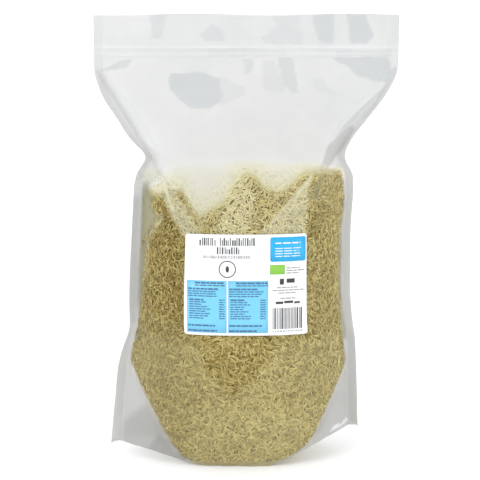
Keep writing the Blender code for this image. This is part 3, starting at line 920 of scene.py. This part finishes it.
for strength, corners in FOLDS:
    fold = marks([(1.0, corners)], 1.2 * MM, 1.0 * MM)
    cover += (strength - cover) * fold
    folded = np.maximum(folded, fold)
# Painted shadow at the foot: the film's lower rim gets a dark rice tint and half its cover.
shadowed_foot = (1.0 - smooth_step(height, 2.0 * MM, 9.0 * MM)) * (1.0 - smooth_step(np.abs(film_places[:, 0]), 0.045, 0.060))
cover += (0.5 - cover) * shadowed_foot
seal = 1.0 - smooth_step(from_edge, 0.75 * SEAL_WIDTH, 1.15 * SEAL_WIDTH)
seal *= 1.0 - 0.85 * smooth_step(height, 0.370, 0.390)
for name, values in {
    "cover": cover,
    "glow": glow,
    "pressed": (1.0 - smooth_step(gaps, 0.5 * MM, 5.0 * MM)) * (1.0 - 0.8 * folded),
    "doubled": np.maximum(seal, bare),
    "side_veil_and_shade": np.clip(np.maximum(beside * (1.0 - bare), grey) / 0.6, 0.0, 1.0) * (1.0 - seal),
    "painted_reflection": marks(PAINTED_REFLECTIONS, 0.9 * MM, 2.0 * MM),
    "darker": np.maximum(marks(CRISP_PAINTED_SHADE, 1.5 * MM, 0.5 * MM), marks(SOFT_PAINTED_SHADE, 5.0 * MM, 1.0 * MM)),
    "shine": marks(SHINE, 0.8 * MM, 1.0 * MM),
    "foot_shadow": shadowed_foot,
}.items():
    add_values(film_mesh, name, values)
print("mean cover:", round(float(cover.mean()), 2), " mean glow:", round(float(glow.mean()), 2))

# %% Film material


def cloud_group():
    """A soft uneven mask, as milky plastic has, between a lowest and a highest value."""
    group = bpy.data.node_groups.new("milky cloud", "ShaderNodeTree")
    face = group.interface
    face.new_socket("Scale", in_out="INPUT", socket_type="NodeSocketFloat")
    face.new_socket("Lowest", in_out="INPUT", socket_type="NodeSocketFloat")
    face.new_socket("Highest", in_out="INPUT", socket_type="NodeSocketFloat")
    face.new_socket("Value", in_out="OUTPUT", socket_type="NodeSocketFloat")
    entry = add_node(group, "NodeGroupInput")
    leave = add_node(group, "NodeGroupOutput")
    cloud = add_node(group, "ShaderNodeTexNoise")
    feed(group, object_position(group), cloud.inputs["Vector"])
    feed(group, entry.outputs["Scale"], cloud.inputs["Scale"])
    cloud.inputs["Detail"].default_value = 3.0
    soft = stretch(group, cloud.outputs["Fac"], 0.32, 0.68)
    span = maths(group, "SUBTRACT", entry.outputs["Highest"], entry.outputs["Lowest"])
    value = maths(group, "ADD", entry.outputs["Lowest"], maths(group, "MULTIPLY", soft, span))
    feed(group, value, leave.inputs["Value"])
    return group


milky_cloud = cloud_group()


def cloud(tree, scale, lowest, highest):
    node = add_node(tree, "ShaderNodeGroup", node_tree=milky_cloud)
    node.inputs["Scale"].default_value = scale
    node.inputs["Lowest"].default_value = lowest
    node.inputs["Highest"].default_value = highest
    return node.outputs["Value"]


LIGHT_CARRIED = 0.85         # share of light that milky film passes on by scattering


ZIP_LINES = [(0.4095, 0.0013), (0.4030, 0.0006)]   # height and half width of the pale lines


def height_lines(tree, lines):
    """A mask of level lines around the pouch, read from the height."""
    axes = add_node(tree, "ShaderNodeSeparateXYZ")
    feed(tree, object_position(tree), axes.inputs["Vector"])
    total = 0.0
    for level, half_width in lines:
        off = maths(tree, "ABSOLUTE", maths(tree, "SUBTRACT", axes.outputs["Z"], level))
        total = maths(tree, "MAXIMUM", total, stretch(tree, off, 0.7 * half_width, 1.3 * half_width, 1.0, 0.0))
    return total


def film_material():
    material, tree, shader = new_material("milky film", 0.22)
    doubled_here = attribute(tree, "doubled")
    cover_here = maths(tree, "MULTIPLY", attribute(tree, "cover"), cloud(tree, 12.0, 0.90, 1.08))
    cover_here = maths(tree, "MAXIMUM", cover_here, maths(tree, "MULTIPLY", doubled_here, 0.62))
    rays = add_node(tree, "ShaderNodeLightPath")
    carried = maths(tree, "MAXIMUM", rays.outputs["Is Shadow Ray"], rays.outputs["Is Diffuse Ray"])
    let_through = maths(tree, "SUBTRACT", 1.0, maths(tree, "MULTIPLY", carried, LIGHT_CARRIED))
    feed(tree, maths(tree, "MULTIPLY", cover_here, let_through), shader.inputs["Alpha"])
    colour = mix_colour(tree, cloud(tree, 22.0, 0.0, 1.0), (0.628, 0.635, 0.630, 1), (0.668, 0.665, 0.658, 1))
    for name, strength, tint in (
        # painted reflection on the empty film
        ("painted_reflection", 0.88, (0.50, 0.52, 0.53, 1)),
        # painted glow: light from the rice close behind the film
        ("glow", 1.0, (0.775, 0.765, 0.565, 1)),
        # film lying on the rice painted its yellow, a painted glow of the rice's light
        ("pressed", 0.75, (0.78, 0.71, 0.35, 1)),
        ("doubled", 1.0, (0.56, 0.56, 0.548, 1)),
        # painted shade of the rice behind the film that turns away
        ("side_veil_and_shade", 0.9, (0.225, 0.215, 0.125, 1)),
        # darker: painted shade in the creases and on the lower corners
        ("darker", 0.85, (0.27, 0.264, 0.25, 1)),
        ("shine", 0.85, (0.82, 0.82, 0.82, 1)),
        # painted shadow on the film's lower rim
        ("foot_shadow", 0.85, (0.50, 0.43, 0.22, 1)),
    ):
        colour = mix_colour(tree, maths(tree, "MULTIPLY", attribute(tree, name), strength), colour, tint)
    speckled = stretch(tree, fine_noise(tree, object_position(tree), 520.0, 1.0), 0.55, 0.66)
    speckled = maths(tree, "MULTIPLY", speckled, stretch(tree, attribute(tree, "glow"), 0.20, 0.75, 0.0, 0.62))
    speckled = maths(tree, "MULTIPLY", speckled, maths(tree, "SUBTRACT", 1.0, attribute(tree, "pressed"), clamp=True))
    colour = mix_colour(tree, speckled, colour, (0.40, 0.36, 0.20, 1))
    zip_shine = maths(tree, "MULTIPLY", height_lines(tree, ZIP_LINES), cloud(tree, 14.0, 0.0, 0.40))
    colour = mix_colour(tree, zip_shine, colour, (0.80, 0.80, 0.80, 1))
    feed(tree, colour, shader.inputs["Base Color"])
    feed(tree, stretch(tree, attribute(tree, "pressed"), 0.0, 1.0, 0.45, 0.22), shader.inputs["Roughness"])
    shader.inputs["Specular IOR Level"].default_value = 0.32
    bumps = fine_noise(tree, object_position(tree), 420.0)
    pressed_bumps = maths(tree, "MULTIPLY", bumps, attribute(tree, "pressed"))
    feed(tree, bump(tree, pressed_bumps, 0.35, 0.4 * MM), shader.inputs["Normal"])
    return material


film = dress("film", film_mesh, film_material())
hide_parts("pouch", "rice")

# %% [markdown]
# ## The label
# The label is one sheet of coated paper, already bent to the bag in the frame, so it stays
# and only gets its paper finish. The print on it is plain fields of colour. Each is a thin
# patch of ink laid on the curved paper, because edges made from geometry stay crisp at any
# distance, where a painted pattern would need a very fine texture.

# %% Paper
paper_material, tree, shader = new_material("coated paper", 0.32)
fibres = fine_noise(tree, object_position(tree), 700.0, 4.0)
feed(tree, mix_colour(tree, fibres, (0.90, 0.90, 0.90, 1), (0.95, 0.95, 0.95, 1)), shader.inputs["Base Color"])
feed(tree, bump(tree, fibres, 0.08, 0.1 * MM), shader.inputs["Normal"])
label = frame["nodes"]["label"]
label.data.materials.clear()
label.data.materials.append(paper_material)

# %% Lay ink on the paper
INK = 0.12 * MM
label_low, label_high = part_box("label")
LABEL_SIZE = Vector((label_high.x - label_low.x, label_high.z - label_low.z))
label_tree_mesh = bmesh.new()
label_tree_mesh.from_mesh(label.data)
label_tree = BVHTree.FromBMesh(label_tree_mesh)
label_tree_mesh.free()


def on_paper(x, z, proud):
    """The point of the front of the label at an x and a height, a little proud of it."""
    hit, normal, index, distance = label_tree.ray_cast(Vector((x, -1.0, z)), Vector((0.0, 1.0, 0.0)))
    return hit + normal * proud


def patch(mesh, left, low, right, high, corner=0.0):
    """Add a rectangle of ink, in shares of the label from its lower left corner."""
    width = (right - left) * LABEL_SIZE.x
    height = (high - low) * LABEL_SIZE.y
    columns = max(1, round(width / (4.0 * MM)))
    rows = max(1, round(height / (12.0 * MM)))
    grid = bmesh.ops.create_grid(mesh, x_segments=columns, y_segments=rows, size=0.5)
    verts = grid["verts"]
    if corner:
        outer = [vertex for vertex in verts if len(vertex.link_edges) == 2]
        bmesh.ops.scale(mesh, vec=(width, height, 1.0), verts=verts)
        others = set(mesh.verts) - set(verts)
        bmesh.ops.bevel(
            mesh, geom=outer, offset=corner, offset_type="OFFSET", segments=4, profile=0.5,
            affect="VERTICES", material=-1,
        )
        verts = [vertex for vertex in mesh.verts if vertex not in others]
    else:
        bmesh.ops.scale(mesh, vec=(width, height, 1.0), verts=verts)
    middle_x = label_low.x + 0.5 * (left + right) * LABEL_SIZE.x
    middle_z = label_low.z + 0.5 * (low + high) * LABEL_SIZE.y
    for vertex in verts:
        vertex.co = on_paper(middle_x + vertex.co.x, middle_z + vertex.co.y, INK)


print("label:", [round(1000 * side, 1) for side in LABEL_SIZE], "mm")

# %% Inks


def ink_material(name, colour):
    material, tree, shader = new_material(name, 0.35)
    pale = [0.92 * part + 0.08 for part in colour]
    mottle = fine_noise(tree, object_position(tree), 500.0, 3.0)
    feed(tree, mix_colour(tree, maths(tree, "MULTIPLY", mottle, 0.5), (*colour, 1), (*pale, 1)), shader.inputs["Base Color"])
    return material


INKS = {
    "sky": ink_material("sky blue ink", (0.18, 0.60, 0.88)),
    "blue": ink_material("mid blue ink", (0.00, 0.42, 0.80)),
    "green": ink_material("green ink", (0.25, 0.58, 0.05)),
    "black": ink_material("black ink", (0.02, 0.02, 0.025)),
    "grey": ink_material("grey ink", (0.35, 0.35, 0.37)),
    "navy": ink_material("dark blue ink", (0.04, 0.16, 0.32)),
    "white": ink_material("white ink", (0.90, 0.90, 0.90)),
}

# %% Fields
# Rectangles in shares of the label's width and height from its lower left corner: left,
# low, right, high, and the radius of the corners.
FIELDS = {
    "sky": [(0.026, 0.025, 0.345, 0.545, 0.0), (0.357, 0.025, 0.678, 0.545, 0.0)],
    "blue": [(0.695, 0.732, 0.980, 0.972, 1.6 * MM)],
    "green": [(0.693, 0.607, 0.812, 0.700, 0.0)],
    "black": [
        (0.772, 0.505, 0.805, 0.562, 0.0), (0.828, 0.520, 0.892, 0.562, 0.0),
        (0.740, 0.312, 0.800, 0.336, 0.0), (0.808, 0.318, 0.880, 0.342, 0.0), (0.890, 0.312, 0.935, 0.332, 0.0),
    ],
    "white": [],
    "grey": [],
    "navy": [],
}
RULE_SEED = 5
rules = np.random.default_rng(RULE_SEED)
sheets = {ink: bmesh.new() for ink in FIELDS}
for ink, fields in FIELDS.items():
    for left, low, right, high, corner in fields:
        patch(sheets[ink], left, low, right, high, corner)
print("fields:", {ink: len(fields) for ink, fields in FIELDS.items() if fields})

# %% Rules in place of print


def words(ink, left, right, middle, height, word=(0.018, 0.060), gap=0.006):
    """A line of word-long bars."""
    x = left
    while x < right - 0.5 * gap:
        end = min(right, x + rules.uniform(*word))
        patch(sheets[ink], x, middle - 0.5 * height, end, middle + 0.5 * height)
        x = end + gap


def upright_bars(ink, left, right, low, high, thin, thick, gap, shortest=1.0):
    """A row of upright bars of uneven thickness, some of them lower where asked."""
    x = left
    while x < right - thin:
        end = min(right, x + rules.choice((thin, thin, thick)))
        top = low + (high - low) * rules.choice((1.0, 1.0, shortest))
        patch(sheets[ink], x, low, end, top)
        x = end + rules.uniform(0.7, 1.3) * gap


for left, right, low, high in ((0.128, 0.272, 0.890, 0.966), (0.292, 0.585, 0.890, 0.966), (0.268, 0.452, 0.808, 0.876)):
    upright_bars("black", left, right, low, high, 0.007, 0.011, 0.009, 0.72)
for middle, height in ((0.913, 0.014), (0.862, 0.009), (0.836, 0.009), (0.810, 0.009), (0.784, 0.009)):
    words("white", 0.735, 0.940, middle, height, (0.04, 0.07), 0.010)
upright_bars("grey", 0.160, 0.545, 0.764, 0.793, 0.005, 0.009, 0.007)
for left, right, middle in ((0.825, 0.935, 0.667), (0.825, 0.970, 0.642), (0.825, 0.930, 0.617),
                            (0.750, 0.915, 0.475), (0.715, 0.965, 0.448), (0.760, 0.900, 0.421), (0.775, 0.905, 0.368)):
    words("grey", left, right, middle, 0.011)
upright_bars("black", 0.716, 0.962, 0.062, 0.272, 0.005, 0.011, 0.0075)
words("grey", 0.716, 0.962, 0.040, 0.012, (0.008, 0.016), 0.008)

PANEL_LINES = (0.522, 0.497, 0.462, 0.437, 0.414, 0.391, 0.354, 0.331, 0.308, 0.285, 0.262, 0.239, 0.216, 0.193, 0.170, 0.097, 0.045)
BOLD_LINES = (0.522, 0.462, 0.354, 0.097, 0.045)
for start in (0.034, 0.365):
    for middle in PANEL_LINES:
        is_bold = middle in BOLD_LINES
        in_table = 0.16 < middle < 0.36
        left = start + (0.055 if middle > 0.49 else 0.010 if in_table else 0.0)
        length = rules.uniform(0.10, 0.18) if in_table else rules.uniform(0.22, 0.28)
        words("navy", left, left + length, middle, 0.017 if is_bold else 0.011)
        if in_table:
            words("navy", start + 0.250, start + 0.295, middle, 0.011)
print("bars and rules:", {ink: len(sheet.faces) for ink, sheet in sheets.items()})

# %% Ring
RING_CENTRE = (0.351, 0.659)
RING_RADIUS = 8.3 * MM
RING_LINE = 0.9 * MM


def flat_shape(mesh, verts, centre):
    """Lay some flat vertices on the paper around a centre given in shares of the label."""
    middle_x = label_low.x + centre[0] * LABEL_SIZE.x
    middle_z = label_low.z + centre[1] * LABEL_SIZE.y
    for vertex in verts:
        vertex.co = on_paper(middle_x + vertex.co.x, middle_z + vertex.co.y, INK)


ring = bmesh.ops.create_circle(sheets["black"], segments=40, radius=RING_RADIUS, cap_ends=True)["verts"]
disc = list(ring[0].link_faces)
inner = bmesh.ops.inset_region(sheets["black"], faces=disc, thickness=RING_LINE, depth=0.0, use_boundary=True)
outline = {vertex for face in inner["faces"] for vertex in face.verts}
bmesh.ops.delete(sheets["black"], geom=disc, context="FACES_ONLY")
flat_shape(sheets["black"], outline, RING_CENTRE)
oval = bmesh.ops.create_circle(sheets["black"], segments=16, radius=1.0, cap_ends=True)["verts"]
bmesh.ops.scale(sheets["black"], vec=(1.6 * MM, 3.2 * MM, 1.0), verts=oval)
flat_shape(sheets["black"], oval, RING_CENTRE)

# %% Put the print on the label
INK_LIFT = {"white": 0.05 * MM, "navy": 0.05 * MM}   # inks that lie on another ink


def print_piece(ink, mesh):
    """Give the patches of one ink their thickness, and put them on the label."""
    for vertex in mesh.verts:
        vertex.co.y -= INK_LIFT.get(ink, 0.0)
    mesh.normal_update()
    inward = [face for face in mesh.faces if face.normal.y > 0.0]
    bmesh.ops.reverse_faces(mesh, faces=inward)
    bmesh.ops.solidify(mesh, geom=list(mesh.faces), thickness=0.5 * INK)
    bmesh.ops.recalc_face_normals(mesh, faces=mesh.faces)
    return new_piece("print_" + ink, mesh, INKS[ink])


for ink, mesh in sheets.items():
    print_piece(ink, mesh)
print("inks:", ", ".join(sheets))
